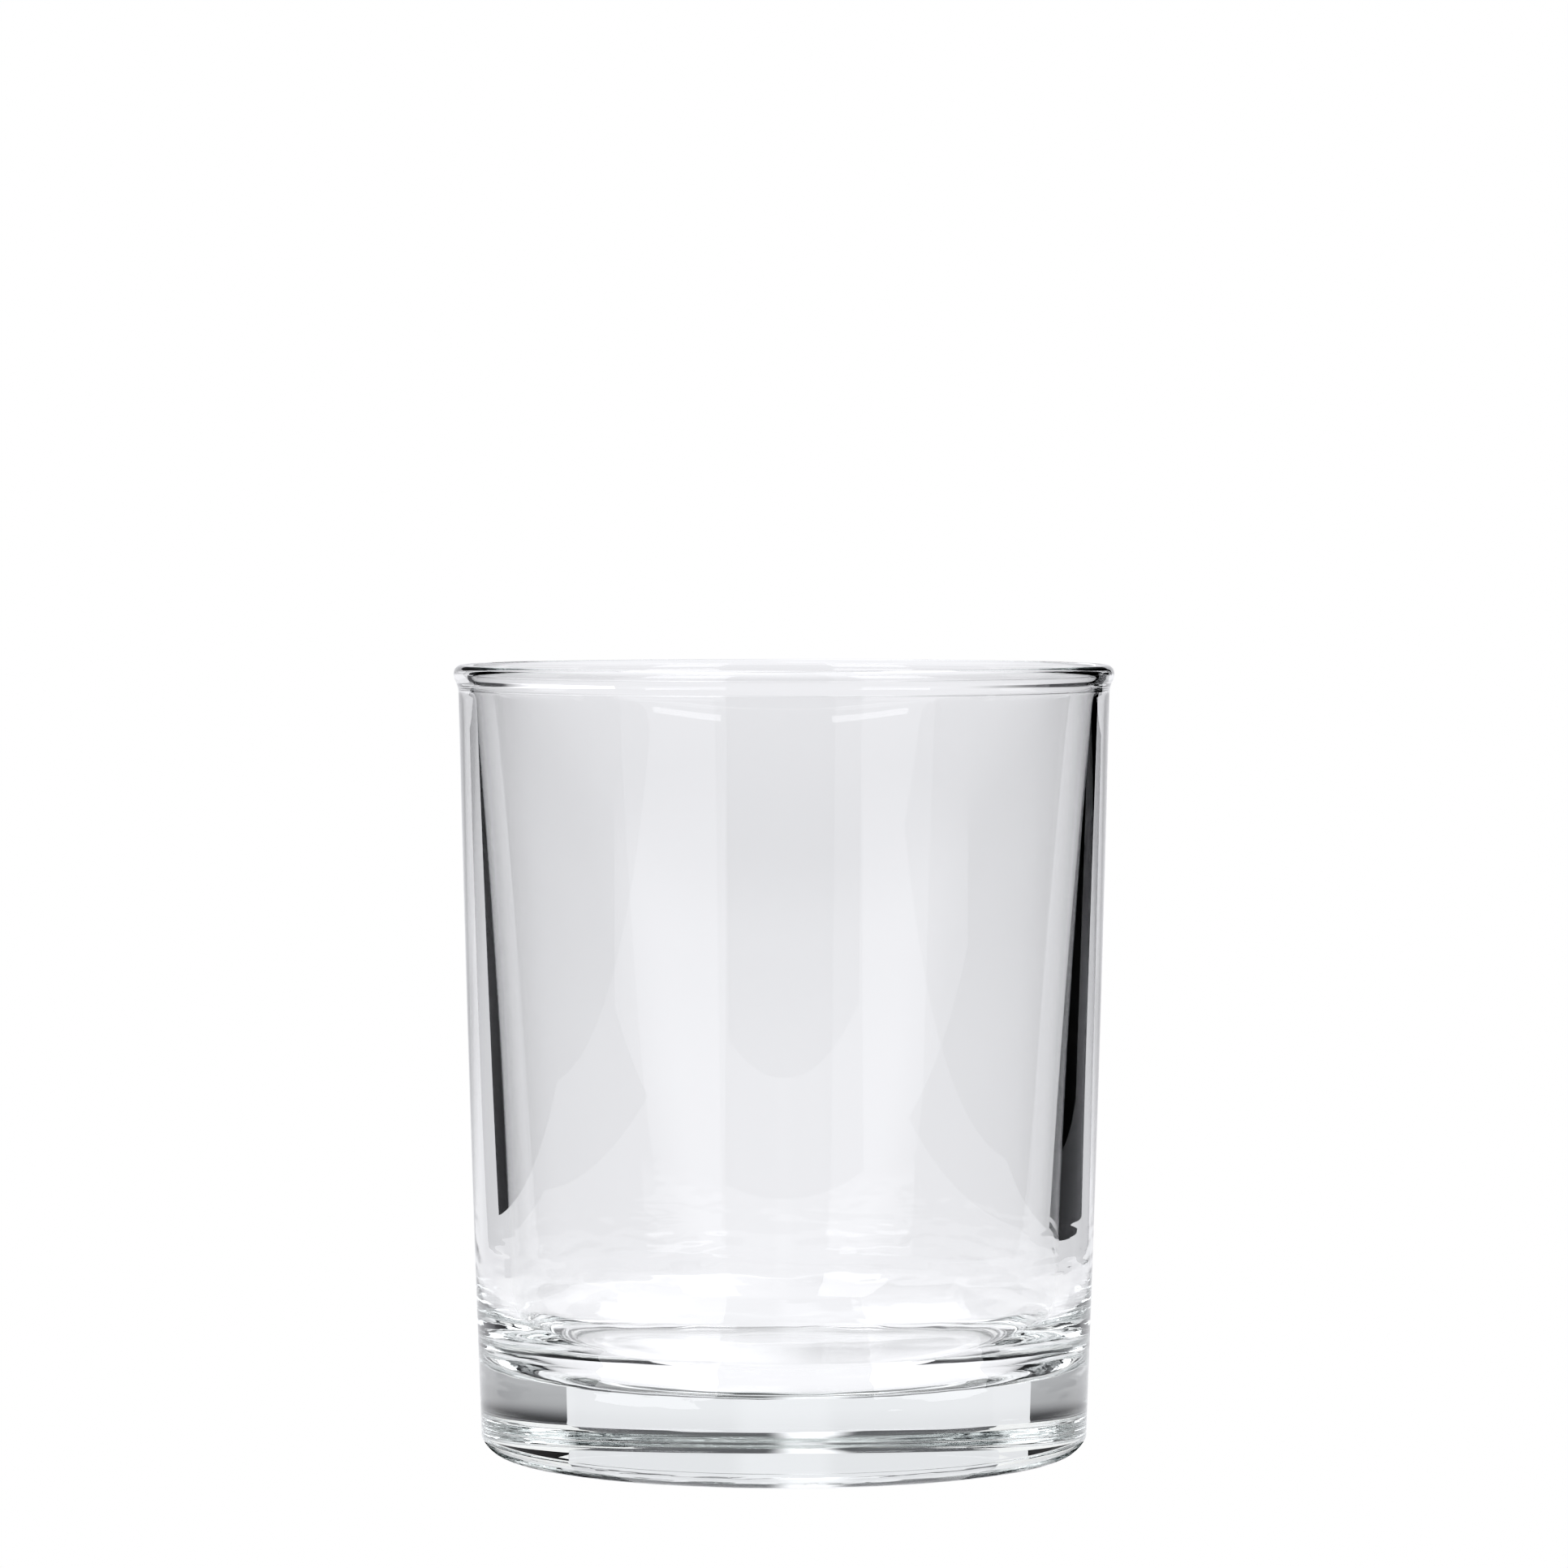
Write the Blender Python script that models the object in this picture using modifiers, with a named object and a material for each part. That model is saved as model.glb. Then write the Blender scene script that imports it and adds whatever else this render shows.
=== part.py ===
"""A pressed glass whisky tumbler: one turned piece of clear glass with a beaded rim and a thick base.

The tumbler stands on the plane z = 0, with its axis on +Z. Lengths are in metres.
"""

import math

import bpy
import bmesh

# Overall sizes
HEIGHT = 0.0955
RIM_DIAMETER = 0.0800          # over the bead
BASE_DIAMETER = 0.0734         # where the outer wall would meet the table

# Wall: thin at the rim, thick at the floor, each face slightly bowed
RIM_WALL = 0.0015              # just under the bead
FLOOR_WALL = 0.0045            # where the inner wall would meet the floor
OUTER_BOW = 0.00015            # outwards, at mid height
INNER_BOW = 0.00050            # towards the axis, at mid height

# Bead round the outside of the rim
BEAD_PROUD = 0.00055
BEAD_HEIGHT = 0.0026
BEAD_FLANK = 0.0010            # height of the slope from the bead back to the wall
BEAD_BLEND = 0.0008            # rounding at both ends of that slope

# Base
FLOOR_THICKNESS = 0.0098
FLOOR_FILLET = 0.0100          # between the floor and the inner wall
HEEL_RADIUS = 0.0020           # between the outer wall and the underside
FOOT_RING_WIDTH = 0.0035       # flat ring that the tumbler stands on
FOOT_RECESS = 0.0004           # depth of the underside within the ring
FOOT_SLOPE = 0.0010            # width of the slope from the ring to the recess
RECESS_BLEND = 0.0010          # rounding at the top of that slope

# How finely round stretches are divided
TURN_STEPS = 72
ARC_STEP = math.radians(15)
WALL_STEPS = 4
SAME_POINT = 1e-6

GLASS_COLOUR = (0.93, 0.96, 0.95, 1.0)
GLASS_ROUGHNESS = 0.02
GLASS_IOR = 1.52


def clear_scene():
    for obj in list(bpy.data.objects):
        bpy.data.objects.remove(obj, do_unlink=True)


def glass_material(name):
    material = bpy.data.materials.new(name)
    material.use_nodes = True
    shader = material.node_tree.nodes["Principled BSDF"]
    shader.inputs["Base Color"].default_value = GLASS_COLOUR
    shader.inputs["Roughness"].default_value = GLASS_ROUGHNESS
    shader.inputs["Metallic"].default_value = 0.0
    shader.inputs["IOR"].default_value = GLASS_IOR
    shader.inputs["Transmission Weight"].default_value = 1.0
    return material


def bowed_line(start, end, bow):
    """Points between start and end, moved off the chord by up to bow along the radius."""
    points = []
    for step in range(1, WALL_STEPS):
        share = step / WALL_STEPS
        radius = start[0] + (end[0] - start[0]) * share
        height = start[1] + (end[1] - start[1]) * share
        points.append((radius + bow * 4 * share * (1 - share), height, 0.0))
    return points


def corner_arc(before, corner, after, fillet):
    """The points of an arc that rounds a corner and is tangent to both of its sides."""
    to_before = (before[0] - corner[0], before[1] - corner[1])
    to_after = (after[0] - corner[0], after[1] - corner[1])
    length_before = math.hypot(*to_before)
    length_after = math.hypot(*to_after)
    back = (to_before[0] / length_before, to_before[1] / length_before)
    ahead = (to_after[0] / length_after, to_after[1] / length_after)
    opening = math.acos(max(-1.0, min(1.0, back[0] * ahead[0] + back[1] * ahead[1])))
    turn = math.pi - opening
    reach = min(fillet * math.tan(turn / 2), length_before / 2, length_after / 2)
    fillet = reach / math.tan(turn / 2)
    middle = (back[0] + ahead[0], back[1] + ahead[1])
    to_centre = fillet / math.cos(turn / 2) / math.hypot(*middle)
    centre = (corner[0] + middle[0] * to_centre, corner[1] + middle[1] * to_centre)
    start = (corner[0] + back[0] * reach, corner[1] + back[1] * reach)
    side = 1.0 if back[0] * ahead[1] - back[1] * ahead[0] < 0 else -1.0
    steps = max(2, math.ceil(turn / ARC_STEP))
    points = []
    for step in range(steps + 1):
        angle = side * turn * step / steps
        across = start[0] - centre[0]
        up = start[1] - centre[1]
        points.append((
            centre[0] + across * math.cos(angle) - up * math.sin(angle),
            centre[1] + across * math.sin(angle) + up * math.cos(angle),
        ))
    return points


def rounded_outline(corners):
    """The outline through (radius, height, fillet) corners, with an arc at each fillet."""
    outline = [corners[0][:2]]
    for before, corner, after in zip(corners, corners[1:], corners[2:]):
        arc = corner_arc(before, corner, after, corner[2]) if corner[2] else [corner[:2]]
        for point in arc:
            if math.dist(point, outline[-1]) > SAME_POINT:
                outline.append(point)
    outline.append(corners[-1][:2])
    return outline


def tumbler_corners():
    """Half section: from the floor's centre up the inside, over the rim and down the outside."""
    rim_radius = RIM_DIAMETER / 2
    neck_radius = rim_radius - BEAD_PROUD
    neck_height = HEIGHT - BEAD_HEIGHT
    base_radius = BASE_DIAMETER / 2
    mouth_radius = neck_radius - RIM_WALL
    wall_rise = (neck_radius - base_radius) / neck_height
    floor_radius = base_radius + wall_rise * FLOOR_THICKNESS - FLOOR_WALL
    rim_crown = (rim_radius - mouth_radius) / 2
    ring_outer = base_radius - HEEL_RADIUS
    ring_inner = ring_outer - FOOT_RING_WIDTH

    floor_corner = (floor_radius, FLOOR_THICKNESS)
    mouth = (mouth_radius, HEIGHT)
    neck = (neck_radius, neck_height)
    heel = (base_radius, 0.0)
    return [
        (0.0, FLOOR_THICKNESS, 0.0),
        (*floor_corner, FLOOR_FILLET),
        *bowed_line(floor_corner, mouth, -INNER_BOW),
        (*mouth, rim_crown),
        (rim_radius, HEIGHT, rim_crown),
        (rim_radius, neck_height + BEAD_FLANK, BEAD_BLEND),
        (*neck, BEAD_BLEND),
        *bowed_line(neck, heel, OUTER_BOW),
        (*heel, HEEL_RADIUS),
        (ring_inner, 0.0, 0.0),
        (ring_inner - FOOT_SLOPE, FOOT_RECESS, RECESS_BLEND),
        (0.0, FOOT_RECESS, 0.0),
    ]


def turned_object(name, outline, material, collection):
    """A closed solid of revolution about Z from a half section that runs down its outer side."""
    section = bmesh.new()
    points = [section.verts.new((radius, 0.0, height)) for radius, height in outline]
    for first, second in zip(points, points[1:]):
        section.edges.new((first, second))
    mesh = bpy.data.meshes.new(name)
    section.to_mesh(mesh)
    section.free()
    mesh.materials.append(material)
    obj = bpy.data.objects.new(name, mesh)
    collection.objects.link(obj)

    turn = obj.modifiers.new("turn", "SCREW")
    turn.axis = "Z"
    turn.angle = math.tau
    turn.steps = TURN_STEPS
    turn.render_steps = TURN_STEPS
    turn.use_merge_vertices = True
    turn.merge_threshold = 0.00001
    turn.use_smooth_shade = True
    return obj


def main():
    clear_scene()
    collection = bpy.data.collections.new("whisky_tumbler")
    bpy.context.scene.collection.children.link(collection)
    outline = rounded_outline(tumbler_corners())
    turned_object("tumbler_glass", outline, glass_material("clear_glass"), collection)


main()
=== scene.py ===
import math

import bmesh
import bpy
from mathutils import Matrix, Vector


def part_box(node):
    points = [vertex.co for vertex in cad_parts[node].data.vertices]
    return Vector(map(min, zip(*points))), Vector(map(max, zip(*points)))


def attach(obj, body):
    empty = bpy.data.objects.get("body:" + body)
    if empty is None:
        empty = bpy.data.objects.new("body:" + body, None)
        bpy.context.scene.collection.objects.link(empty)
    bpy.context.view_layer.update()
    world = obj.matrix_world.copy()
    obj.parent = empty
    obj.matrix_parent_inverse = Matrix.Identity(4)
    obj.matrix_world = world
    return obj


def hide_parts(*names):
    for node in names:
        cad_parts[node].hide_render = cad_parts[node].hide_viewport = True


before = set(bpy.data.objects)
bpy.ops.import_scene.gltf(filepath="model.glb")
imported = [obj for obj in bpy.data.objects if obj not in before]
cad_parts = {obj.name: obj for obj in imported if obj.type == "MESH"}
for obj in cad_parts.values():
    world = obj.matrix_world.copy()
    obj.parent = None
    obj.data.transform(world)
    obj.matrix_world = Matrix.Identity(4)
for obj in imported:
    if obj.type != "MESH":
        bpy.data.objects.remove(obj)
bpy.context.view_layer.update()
glassNode = "tumbler_glass"
glassLow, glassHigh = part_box(glassNode)
print("frame loaded:", list(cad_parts))


# Tumbler: lengths in metres. The section follows the solid's, with a slightly longer slope under the bead,
# a squarer heel and faint ripples low on the outside. A value whose name ends in Share multiplies a length
tumbler = {
    "height": glassHigh.z - glassLow.z,
    "rimRadius": (glassHigh.x - glassLow.x) / 2,
    "baseRadius": 0.0367,
    "rimWall": 0.0015,
    "floorWall": 0.0045,
    "outerBow": 0.00015,
    "innerBow": 0.00050,
    "beadProud": 0.00055,
    "beadHeight": 0.0027,
    "beadFlank": 0.0012,
    "floorThickness": 0.0098,
    "floorFillet": 0.0100,
    "heelRadius": 0.0020,
    "footRing": 0.0035,
    "footRecess": 0.0004,
    "footSlope": 0.0010,
    "recessBlend": 0.0010,
    "filletShare": 0.93,
    "crownShare": 0.999,
    "beadFootShare": 0.36,
    "neckShare": 0.50,
    "recessShare": 0.3,
    "runShare": 1.2,
    "mouthRunShare": 1.5,
    "mouthInset": 0.0001,
    "neckRun": 0.001,
    "wallSteps": 24,
    "flatSteps": 12,
    "arcSteps": 14,
    "heelSteps": 48,
    "heelProfile": 0.38,
    "spinSteps": 320,
    "rippleTop": 0.0295,
    "rippleFull": 0.024,
    "rippleFoot": 0.0105,
    "rippleLow": 0.0085,
    "rippleSteps": 76,
    "rippleSkin": 0.0004,
    "heelTopShare": 0.97,
    "heelFade": 0.0002,
    "wallRipple": {"across": 0.008, "up": 0.0011, "depth": 0.00005},
    "heelRipple": {"across": 0.003, "up": 0.00026, "depth": 0.00003},
}


def deselectAll():
    if bpy.context.object and bpy.context.object.mode != "OBJECT":
        bpy.ops.object.mode_set(mode="OBJECT")
    bpy.ops.object.select_all(action="DESELECT")


def startProfile(name, radius, height):
    deselectAll()
    bpy.ops.mesh.primitive_plane_add(size=0.001, location=(0, 0, 0))
    piece = bpy.context.object
    piece.name = name
    piece.data.name = name
    bpy.ops.object.mode_set(mode="EDIT")
    bpy.ops.mesh.select_all(action="SELECT")
    bpy.ops.mesh.merge(type="CENTER")
    bpy.ops.transform.translate(value=(radius, 0, height))
    return piece


def extrudeLine(start, end, steps=1, bow=0.0, shares=None):
    last = start
    for share in shares or [step / steps for step in range(1, steps + 1)]:
        radius = start[0] + (end[0] - start[0]) * share + bow * 4 * share * (1 - share)
        height = start[1] + (end[1] - start[1]) * share
        move = (radius - last[0], 0, height - last[1])
        bpy.ops.mesh.extrude_region_move(TRANSFORM_OT_translate={"value": move})
        last = (radius, height)
    return end


def roundCorner(piece, corner, reach, segments, profile=0.5):
    bpy.ops.mesh.select_all(action="DESELECT")
    work = bmesh.from_edit_mesh(piece.data)
    place = Vector((corner[0], 0, corner[1]))
    nearest = min(work.verts, key=lambda v: (v.co - place).length)
    nearest.select_set(True)
    work.select_flush_mode()
    bmesh.update_edit_mesh(piece.data)
    bpy.ops.mesh.bevel(offset_type="OFFSET", offset=reach, segments=segments,
                       profile=profile, affect="VERTICES", clamp_overlap=False)


def spinRound(steps):
    bpy.ops.mesh.select_all(action="SELECT")
    bpy.ops.mesh.spin(steps=steps, angle=math.tau, center=(0, 0, 0), axis=(0, 0, 1))
    bpy.ops.mesh.select_all(action="SELECT")
    bpy.ops.mesh.remove_doubles(threshold=1e-6)
    bpy.ops.mesh.normals_make_consistent(inside=False)
    bpy.ops.object.mode_set(mode="OBJECT")
    bpy.ops.object.shade_smooth()


def ripple(piece, name, weights, across, up, depth):
    group = piece.vertex_groups.new(name=name)
    for index, weight in weights.items():
        group.add([index], weight, "REPLACE")
    clouds = bpy.data.textures.new(name, "CLOUDS")
    clouds.noise_scale = 1.0
    clouds.noise_depth = 2
    deselectAll()
    bpy.ops.object.empty_add(location=(0, 0, 0))
    stretch = bpy.context.object
    stretch.scale = (across, across, up)
    bpy.context.view_layer.update()
    deselectAll()
    piece.select_set(True)
    bpy.context.view_layer.objects.active = piece
    push = piece.modifiers.new(name, "DISPLACE")
    push.texture = clouds
    push.texture_coords = "OBJECT"
    push.texture_coords_object = stretch
    push.vertex_group = name
    push.strength = depth
    push.mid_level = 0.5
    bpy.ops.object.modifier_apply(modifier=name)
    piece.vertex_groups.remove(piece.vertex_groups[name])
    bpy.data.objects.remove(stretch)


def rippleOutside(glass, s, wallRise):
    outside = s["baseRadius"] - s["heelRadius"]
    heelTop = s["heelRadius"] * s["heelTopShare"]
    top, low = s["rippleTop"], s["rippleLow"]
    onWall = {}
    onHeel = {}
    for vertex in glass.data.vertices:
        radius = math.hypot(vertex.co.x, vertex.co.y)
        height = vertex.co.z
        skin = s["baseRadius"] + wallRise * height - s["rippleSkin"]
        if radius < skin and height > s["heelRadius"]:
            continue
        if low < height < top:
            rise = (height - low) / (s["rippleFoot"] - low)
            onWall[vertex.index] = min(1.0, (top - height) / (top - s["rippleFull"]), rise)
        elif height <= heelTop and radius > outside:
            onHeel[vertex.index] = min(1.0, (heelTop - height) / s["heelFade"], height / s["heelFade"])
    ripple(glass, "wallRipple", onWall, **s["wallRipple"])
    ripple(glass, "heelRipple", onHeel, **s["heelRipple"])
    print("ripples:", len(onWall), "wall points,", len(onHeel), "heel points")


def makeTumbler(s):
    neckRadius = s["rimRadius"] - s["beadProud"]
    neckHeight = s["height"] - s["beadHeight"]
    mouthRadius = neckRadius - s["rimWall"]
    wallRise = (neckRadius - s["baseRadius"]) / neckHeight
    floorRadius = s["baseRadius"] + wallRise * s["floorThickness"] - s["floorWall"]
    crown = (s["rimRadius"] - mouthRadius) / 2
    ringInner = s["baseRadius"] - s["heelRadius"] - s["footRing"]
    filletReach = s["floorFillet"] * s["filletShare"]
    filletRun = filletReach * s["runShare"]
    heelRun = s["heelRadius"] * s["runShare"]
    innerLean = (mouthRadius - floorRadius) / (s["height"] - s["floorThickness"])

    centre = (0.0, s["floorThickness"])
    nearFillet = (floorRadius - filletRun, s["floorThickness"])
    floorCorner = (floorRadius, s["floorThickness"])
    wallFoot = (floorRadius + filletRun * innerLean, s["floorThickness"] + filletRun)
    belowMouth = (mouthRadius - s["mouthInset"], s["height"] - crown * s["mouthRunShare"])
    mouth = (mouthRadius, s["height"])
    rim = (s["rimRadius"], s["height"])
    beadFoot = (s["rimRadius"], neckHeight + s["beadFlank"])
    neck = (neckRadius, neckHeight)
    belowNeck = (neckRadius - wallRise * s["neckRun"], neckHeight - s["neckRun"])
    aboveHeel = (s["baseRadius"] + wallRise * heelRun, heelRun)
    heel = (s["baseRadius"], 0.0)
    ringEdge = (ringInner, 0.0)
    recessEdge = (ringInner - s["footSlope"], s["footRecess"])
    underside = (0.0, s["footRecess"])

    glass = startProfile("tumbler_body", *centre)
    at = extrudeLine(centre, nearFillet, s["flatSteps"])
    for corner in (floorCorner, wallFoot):
        at = extrudeLine(at, corner)
    at = extrudeLine(at, belowMouth, s["wallSteps"], -s["innerBow"])
    for corner in (mouth, rim, beadFoot, neck, belowNeck):
        at = extrudeLine(at, corner)
    plain = (belowNeck[1] - s["rippleTop"]) / (belowNeck[1] - aboveHeel[1])
    shares = [plain * step / s["wallSteps"] for step in range(1, s["wallSteps"])]
    shares += [plain + (1 - plain) * step / s["rippleSteps"] for step in range(s["rippleSteps"] + 1)]
    at = extrudeLine(at, aboveHeel, bow=s["outerBow"], shares=shares)
    for corner in (heel, ringEdge, recessEdge):
        at = extrudeLine(at, corner)
    extrudeLine(at, underside, s["flatSteps"])

    steps = s["arcSteps"]
    roundCorner(glass, floorCorner, filletReach, steps)
    roundCorner(glass, mouth, crown * s["crownShare"], steps)
    roundCorner(glass, rim, crown * s["crownShare"], steps)
    roundCorner(glass, beadFoot, s["beadFlank"] * s["beadFootShare"], steps // 2)
    roundCorner(glass, neck, s["beadFlank"] * s["neckShare"], steps // 2)
    roundCorner(glass, heel, s["heelRadius"], s["heelSteps"], s["heelProfile"])
    roundCorner(glass, recessEdge, s["recessBlend"] * s["recessShare"], steps // 4)
    spinRound(s["spinSteps"])
    print("tumbler turned:", len(glass.data.polygons), "faces")
    rippleOutside(glass, s, wallRise)
    return glass


# Glass: clear, with a faint grey-green that deepens along the light's way through it
glassLook = {"ior": 1.52, "absorb": (0.80, 0.88, 0.86), "density": 4.0}


def clearGlass(g):
    material = bpy.data.materials.new("clearGlass")
    material.use_nodes = True
    nodes = material.node_tree.nodes
    links = material.node_tree.links
    shader = nodes["Principled BSDF"]
    shader.inputs["Base Color"].default_value = (1, 1, 1, 1)
    shader.inputs["Roughness"].default_value = 0.0
    shader.inputs["IOR"].default_value = g["ior"]
    shader.inputs["Transmission Weight"].default_value = 1.0
    absorb = nodes.new("ShaderNodeVolumeAbsorption")
    absorb.inputs["Color"].default_value = (*g["absorb"], 1)
    absorb.inputs["Density"].default_value = g["density"]
    links.new(absorb.outputs["Volume"], nodes["Material Output"].inputs["Volume"])
    return material


# Camera: read off the ellipses of the rim and the base in the photograph
lens = {"distance": 0.830, "height": 0.111, "pitch": 2.07, "focal": 157.2, "sensor": 36.0}


def makeCamera(c):
    data = bpy.data.cameras.new("photoCamera")
    data.lens = c["focal"]
    data.sensor_width = c["sensor"]
    camera = bpy.data.objects.new("photoCamera", data)
    bpy.context.scene.collection.objects.link(camera)
    camera.location = (0, -c["distance"], c["height"])
    camera.rotation_euler = (math.radians(90 - c["pitch"]), 0, 0)
    bpy.context.scene.camera = camera
    return camera


# Studio: a white table running back to a far white screen, a dim wall above it with one bright strip,
# a ceiling with a light in it, side lights, and in front two soft boxes and painted pools of light on the
# table.
# The table's and the screen's glow are painted darker at the sides, and the table's is painted lighter at
# its sides far back. Beside the glass are dark areas of table, with black flags hanging at rim height. Thin
# black crescents under the heel are a painted contact shadow. Lengths are in metres and turns in degrees.
# The glow and shine lists give a value by distance from the axis
studio = {
    "far": 3.0, "drop": -0.00005, "tint": (0.965, 0.968, 1.0),
    "tableHalf": 2.4, "tableFront": -0.25,
    "tableGlow": ((0.10, 1.05), (0.17, 0.99), (0.42, 0.985), (0.60, 0.955), (0.76, 0.895), (1.02, 0.94)),
    "tableIor": 1.2, "tableRough": 0.02, "shineMost": 1.75, "shineLimit": 0.95,
    "tableShine": ((0.055, 1.0), (0.09, 0.60), (0.14, 0.48), (0.22, 0.0)),
    "rampMargin": 1.2, "leastAhead": 0.02,
    "sideFrom": 4.0, "sideTo": 7.0, "sideShade": 0.08,
    "edgeFrom": 21.0, "edgeTo": 32.0, "edgeShade": 0.15,
    "shadeFrom": 0.10, "shadeTo": 0.23,
    "liftFrom": 0.62, "liftTo": 0.95, "liftShare": -0.5,
    "screenLeft": -2.65, "screenRight": 1.95, "screenTop": 0.63, "screenGlow": 0.92, "screenFade": 0.09,
    "wallTop": 2.20, "wallHalf": 2.10, "wallGlow": 0.16,
    "stripLeft": -0.40, "stripRight": 0.02, "stripSoft": 0.12, "stripGlow": 1.3,
    "ceilingFront": -1.0, "ceilingGlow": 0.14,
    "overheadFront": 0.0, "overheadBack": 1.4, "overheadGlow": 0.35,
    "sideLightFrom": 33.0, "sideLightTo": 95.0, "sideLightLow": 0.40, "sideLightHigh": 1.60,
    "sideLightGlow": 0.95,
    "darkLeft": ((-0.275, 0.010), (-0.1606, 0.1550), -31.0),
    "darkRight": ((0.235, 0.0), (0.1199, 0.1954), 27.7), "darkReach": 2.0,
    "flagLeft": ((-0.24, 0.02), (-0.118, 0.126)), "flagRight": ((0.22, 0.02), (0.0825, 0.137)),
    "flagLow": 0.0885, "flagHigh": 0.17,
    "patchLeft": (-61.0, -20.0), "patchRight": (27.0, 67.0), "patchNear": 0.09, "patchFar": 1.15,
    "patchDrop": -0.00003, "patchMost": 3.0,
    "patchGlow": ((0.12, 1.0), (0.15, 0.27), (0.80, 0.27), (1.15, 0.0)),
    "contactShadowLeft": (-110.0, -30.0), "contactShadowRight": (36.0, 110.0),
    "contactShadowFrom": 0.0350, "contactShadowTo": 0.0400, "contactShadowSteps": 16,
    "boxLeft": (-50.0, -19.0), "boxRight": (25.0, 53.0), "boxAway": 0.80, "boxLow": 0.25, "boxHigh": 0.86,
    "boxGlow": 3.0,
}


def glowing(name, strength, colour=(1, 1, 1)):
    material = bpy.data.materials.new(name)
    material.use_nodes = True
    nodes = material.node_tree.nodes
    nodes.clear()
    glow = nodes.new("ShaderNodeEmission")
    glow.inputs["Color"].default_value = (*colour, 1)
    glow.inputs["Strength"].default_value = strength
    output = nodes.new("ShaderNodeOutputMaterial")
    material.node_tree.links.new(glow.outputs[0], output.inputs["Surface"])
    return material


def mathNode(nodes, links, kind, first, second=0.0):
    node = nodes.new("ShaderNodeMath")
    node.operation = kind
    for socket, value in zip(node.inputs, (first, second)):
        if hasattr(value, "links"):
            links.new(value, socket)
        else:
            socket.default_value = value
    return node.outputs[0]


def fadeNode(nodes, links, value, fromMin, fromMax, toMin, toMax):
    fade = nodes.new("ShaderNodeMapRange")
    fade.interpolation_type = "SMOOTHSTEP"
    links.new(value, fade.inputs["Value"])
    for name, number in (("From Min", fromMin), ("From Max", fromMax), ("To Min", toMin), ("To Max", toMax)):
        fade.inputs[name].default_value = number
    return fade.outputs["Result"]


def radialRamp(nodes, links, s, span, stops):
    reach = stops[-1][0] * s["rampMargin"]
    ramp = nodes.new("ShaderNodeValToRGB")
    ramp.color_ramp.interpolation = "EASE"
    points = ramp.color_ramp.elements
    while len(points) < len(stops):
        points.new(0.5)
    for point, (away, value) in zip(points, stops):
        point.position = away / reach
        point.color = (value, value, value, 1)
    links.new(mathNode(nodes, links, "DIVIDE", span, reach), ramp.inputs[0])
    return ramp.outputs[0]


def emitter(material):
    return next(n for n in material.node_tree.nodes if n.type == "EMISSION")


def objectPlace(nodes, links):
    place = nodes.new("ShaderNodeTexCoord")
    split = nodes.new("ShaderNodeSeparateXYZ")
    links.new(place.outputs["Object"], split.inputs[0])
    return split


def objectSpan(nodes, links):
    place = nodes.new("ShaderNodeTexCoord")
    span = nodes.new("ShaderNodeVectorMath")
    span.operation = "LENGTH"
    links.new(place.outputs["Object"], span.inputs[0])
    return span.outputs["Value"]


def sideFade(nodes, links, s, place, parts):
    ahead = mathNode(nodes, links, "MAXIMUM", place.outputs["Y"], s["leastAhead"])
    aside = mathNode(nodes, links, "ABSOLUTE", place.outputs["X"])
    slant = mathNode(nodes, links, "DIVIDE", aside, ahead)
    shade = 0.0
    for part in parts:
        first, last = (math.tan(math.radians(s[part + end])) for end in ("From", "To"))
        fade = fadeNode(nodes, links, slant, first, last, 0.0, s[part + "Shade"])
        shade = mathNode(nodes, links, "ADD", fade, shade)
    return shade


# Painted shade: the screen's glow is darker towards its sides
def screenWhite(s):
    material = glowing("screenWhite", s["screenGlow"], s["tint"])
    nodes = material.node_tree.nodes
    links = material.node_tree.links
    place = objectPlace(nodes, links)
    shade = mathNode(nodes, links, "SUBTRACT", 1.0, sideFade(nodes, links, s, place, ("side",)))
    glow = mathNode(nodes, links, "MULTIPLY", shade, s["screenGlow"])
    links.new(glow, emitter(material).inputs["Strength"])
    return material


# Painted light and shade: the table's glow changes with distance from the glass, is painted darker at the
# sides near it and painted lighter at the sides far back; the gloss mixed in near the glass is a real
# reflection
def tableWhite(s):
    material = glowing("tableWhite", 1.0, s["tint"])
    nodes = material.node_tree.nodes
    links = material.node_tree.links
    place = objectPlace(nodes, links)
    span = objectSpan(nodes, links)
    light = radialRamp(nodes, links, s, span, s["tableGlow"])
    away = fadeNode(nodes, links, span, s["shadeFrom"], s["shadeTo"], 0.0, 1.0)
    lift = fadeNode(nodes, links, span, s["liftFrom"], s["liftTo"], 1.0, s["liftShare"])
    away = mathNode(nodes, links, "MULTIPLY", away, lift)
    shade = mathNode(nodes, links, "MULTIPLY", sideFade(nodes, links, s, place, ("side", "edge")), away)
    shade = mathNode(nodes, links, "SUBTRACT", 1.0, shade)
    links.new(mathNode(nodes, links, "MULTIPLY", light, shade), emitter(material).inputs["Strength"])

    output = next(n for n in nodes if n.type == "OUTPUT_MATERIAL")
    shine = nodes.new("ShaderNodeBsdfGlossy")
    shine.inputs["Color"].default_value = (1, 1, 1, 1)
    shine.inputs["Roughness"].default_value = s["tableRough"]
    facing = nodes.new("ShaderNodeFresnel")
    facing.inputs["IOR"].default_value = s["tableIor"]
    near = radialRamp(nodes, links, s, span, s["tableShine"])
    near = mathNode(nodes, links, "MULTIPLY", near, s["shineMost"])
    share = mathNode(nodes, links, "MULTIPLY", facing.outputs[0], near)
    share = mathNode(nodes, links, "MINIMUM", share, s["shineLimit"])
    mix = nodes.new("ShaderNodeMixShader")
    links.new(share, mix.inputs[0])
    links.new(emitter(material).outputs[0], mix.inputs[1])
    links.new(shine.outputs[0], mix.inputs[2])
    links.new(mix.outputs[0], output.inputs["Surface"])
    return material


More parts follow.
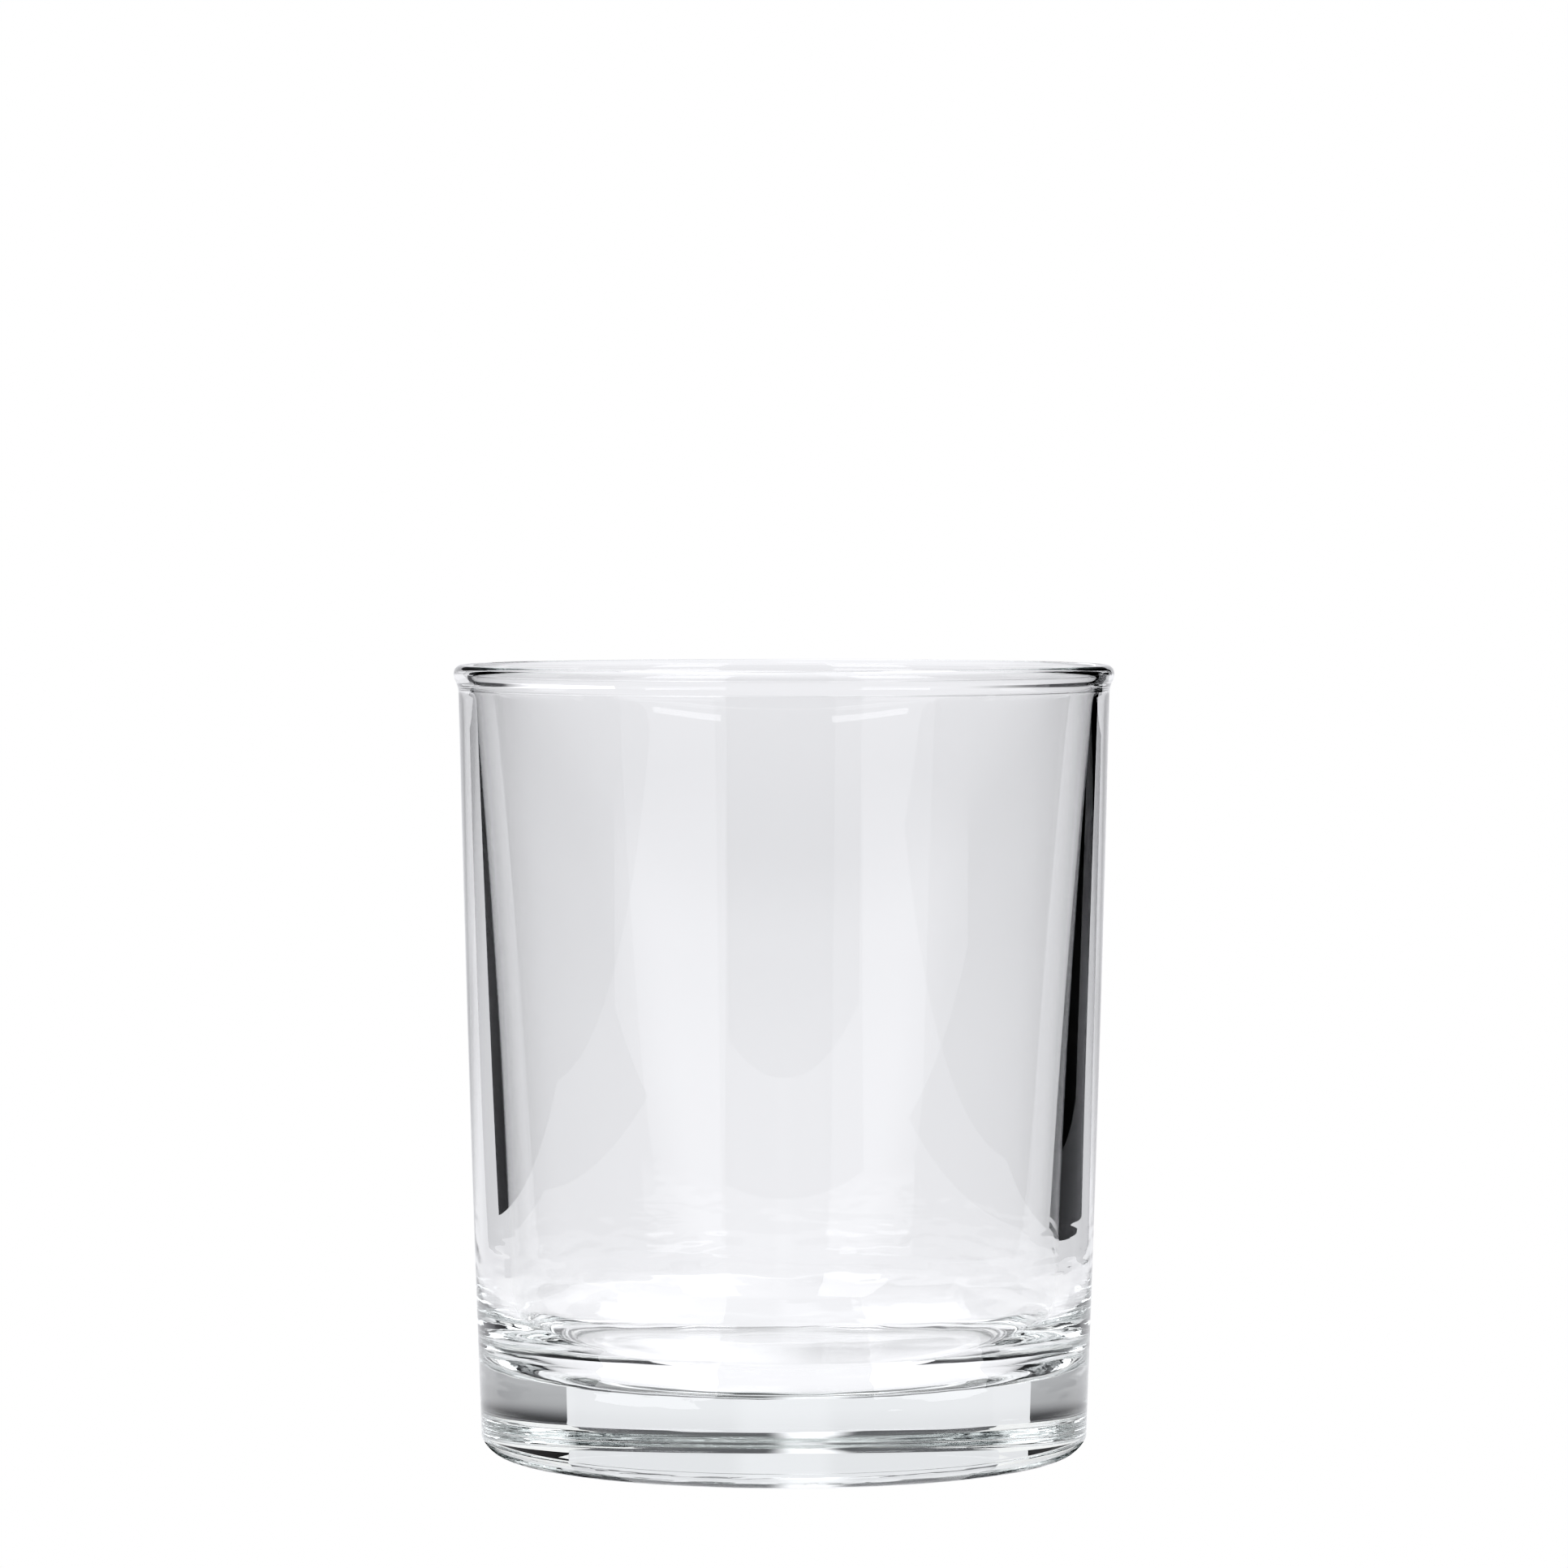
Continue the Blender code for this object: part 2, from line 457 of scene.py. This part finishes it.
def dimGrey(s, name, level):
    material = glowing(name, level, s["tint"])
    nodes = material.node_tree.nodes
    links = material.node_tree.links
    place = objectPlace(nodes, links)
    across, soft = place.outputs["X"], s["stripSoft"]
    left, right = s["stripLeft"], s["stripRight"]
    rise = fadeNode(nodes, links, across, left - soft, left + soft, 0.0, 1.0)
    fall = fadeNode(nodes, links, across, right - soft, right + soft, s["stripGlow"] - level, 0.0)
    strip = mathNode(nodes, links, "MULTIPLY", rise, fall)
    top = s["screenTop"]
    foot = fadeNode(nodes, links, place.outputs["Z"], top, top + s["screenFade"], s["screenGlow"], level)
    links.new(mathNode(nodes, links, "ADD", strip, foot), emitter(material).inputs["Strength"])
    return material


# Painted pools of light: bright sheets lying on the table in front of the glass, glowing most near it and
# fading far off
def patchLightPool(s):
    material = glowing("patchLightPool", 1.0, s["tint"])
    nodes = material.node_tree.nodes
    links = material.node_tree.links
    light = radialRamp(nodes, links, s, objectSpan(nodes, links), s["patchGlow"])
    glow = mathNode(nodes, links, "MULTIPLY", light, s["patchMost"])
    links.new(glow, emitter(material).inputs["Strength"])
    return material


def sheet(name, corners, material, rig, camera=False, glossy=True, refracted=True):
    mesh = bpy.data.meshes.new(name)
    mesh.from_pydata(corners, [], [tuple(range(len(corners)))])
    mesh.materials.append(material)
    obj = bpy.data.objects.new(name, mesh)
    bpy.context.scene.collection.objects.link(obj)
    obj.visible_camera = camera
    obj.visible_glossy = glossy
    obj.visible_transmission = refracted
    obj.visible_shadow = False
    obj.parent = rig
    return obj


def flatCorners(half, front, back, height):
    return [(-half, front, height), (half, front, height), (half, back, height), (-half, back, height)]


def standing(name, first, second, low, high, material, rig):
    corners = [(*first, low), (*second, low), (*second, high), (*first, high)]
    return sheet(name, corners, material, rig)


def atTurn(degrees, away):
    turn = math.radians(degrees)
    return (away * math.sin(turn), away * math.cos(turn))


def makeWorld():
    world = bpy.data.worlds.new("studioWorld")
    bpy.context.scene.world = world
    world.use_nodes = True
    nodes = world.node_tree.nodes
    path = nodes.new("ShaderNodeLightPath")
    world.node_tree.links.new(path.outputs["Is Camera Ray"], nodes["Background"].inputs["Color"])


def makeRig(camera):
    rig = bpy.data.objects.new("studioRig", None)
    bpy.context.scene.collection.objects.link(rig)
    facing = rig.constraints.new("LOCKED_TRACK")
    facing.target = camera
    facing.track_axis = "TRACK_NEGATIVE_Y"
    facing.lock_axis = "LOCK_Z"
    return rig


def makeRoom(s, rig):
    drop, rear, top, high = s["drop"], s["far"], s["screenTop"], s["wallTop"]
    sheet("floor", flatCorners(rear, -rear, rear, drop), glowing("floorWhite", 1.0), rig, True, False, False)
    sheet("tableSheet", flatCorners(s["tableHalf"], s["tableFront"], rear, drop), tableWhite(s), rig)
    standing("backScreen", (s["screenLeft"], rear), (s["screenRight"], rear), drop, top, screenWhite(s), rig)
    half = s["wallHalf"]
    standing("backWall", (-half, rear), (half, rear), top, high, dimGrey(s, "wallGrey", s["wallGlow"]), rig)
    front, back = s["overheadFront"], s["overheadBack"]
    sheet("overhead", flatCorners(half, front, back, high), glowing("overheadWhite", s["overheadGlow"]), rig)
    for name, first, last in (("ceilingFront", s["ceilingFront"], front), ("ceilingBack", back, rear)):
        sheet(name, flatCorners(half, first, last, high), dimGrey(s, name, s["ceilingGlow"]), rig)


def makeDarks(s, rig):
    front = s["tableFront"]
    for name in ("darkLeft", "darkRight"):
        first, second, turn = s[name]
        last = Vector(second) + Vector(atTurn(turn, s["darkReach"]))
        side = math.copysign(s["tableHalf"], turn)
        corners = [first, second, last, (side, last.y), (side, front), (first[0], front)]
        sheet(name, [(*corner, 0.0) for corner in corners], glowing(name, 0.0), rig)
    for name in ("flagLeft", "flagRight"):
        standing(name, *s[name], s["flagLow"], s["flagHigh"], glowing(name, 0.0), rig)


def makePatches(s, rig):
    near, far = s["patchNear"], s["patchFar"]
    for name in ("patchLeft", "patchRight"):
        first, second = s[name]
        ends = ((first, near), (first, far), (second, far), (second, near))
        corners = [atTurn(180 - turn, away) for turn, away in ends]
        sheet(name, [(*corner, s["patchDrop"]) for corner in corners], patchLightPool(s), rig)


# Painted contact shadow: black crescents on the table under the heel's overhang, seen in reflections and
# through the glass but not by the camera
def makeContactShadows(s, rig):
    width = s["contactShadowTo"] - s["contactShadowFrom"]
    shares = [step / s["contactShadowSteps"] for step in range(s["contactShadowSteps"] + 1)]
    for name in ("contactShadowLeft", "contactShadowRight"):
        first, second = s[name]
        corners = []
        for widest, order in ((width, shares), (0.0, shares[-2:0:-1])):
            for share in order:
                away = s["contactShadowFrom"] + widest * math.sin(math.pi * share)
                corners.append(atTurn(180 - first - (second - first) * share, away))
        sheet(name, [(*corner, s["drop"] / 2) for corner in corners], glowing(name, 0.0), rig)


def makeLights(s, rig):
    for name in ("boxLeft", "boxRight"):
        first, second = (atTurn(180 - turn, s["boxAway"]) for turn in s[name])
        light = glowing(name, s["boxGlow"], s["tint"])
        standing(name, first, second, s["boxLow"], s["boxHigh"], light, rig)
    for side, name in ((-1, "L"), (1, "R")):
        first, second = (atTurn(side * s[key], s["far"]) for key in ("sideLightFrom", "sideLightTo"))
        standing("sideLight" + name, first, second, s["sideLightLow"], s["sideLightHigh"],
                 glowing("sideWhite" + name, s["sideLightGlow"]), rig)


def makeStudio(s, camera):
    makeWorld()
    rig = makeRig(camera)
    makeRoom(s, rig)
    makeDarks(s, rig)
    makePatches(s, rig)
    makeContactShadows(s, rig)
    makeLights(s, rig)
    print("studio set")


# Picture: a tone curve that deepens the darks, and bounces for light that runs far inside the thick glass
picture = {"bounces": 32, "toe": ((0.04, 0.008), (0.10, 0.045), (0.20, 0.165), (0.32, 0.32))}


def setPicture(p):
    scene = bpy.context.scene
    view = scene.view_settings
    view.view_transform = "Standard"
    view.use_curve_mapping = True
    tone = view.curve_mapping.curves[3]
    for dark, seen in p["toe"]:
        tone.points.new(dark, seen)
    view.curve_mapping.update()
    scene.cycles.max_bounces = p["bounces"]
    scene.cycles.glossy_bounces = p["bounces"]
    scene.cycles.transmission_bounces = p["bounces"]
    print("picture set")


camera = makeCamera(lens)
makeStudio(studio, camera)
setPicture(picture)
body = makeTumbler(tumbler)
body.data.materials.clear()
body.data.materials.append(clearGlass(glassLook))
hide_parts(glassNode)
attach(body, "root")
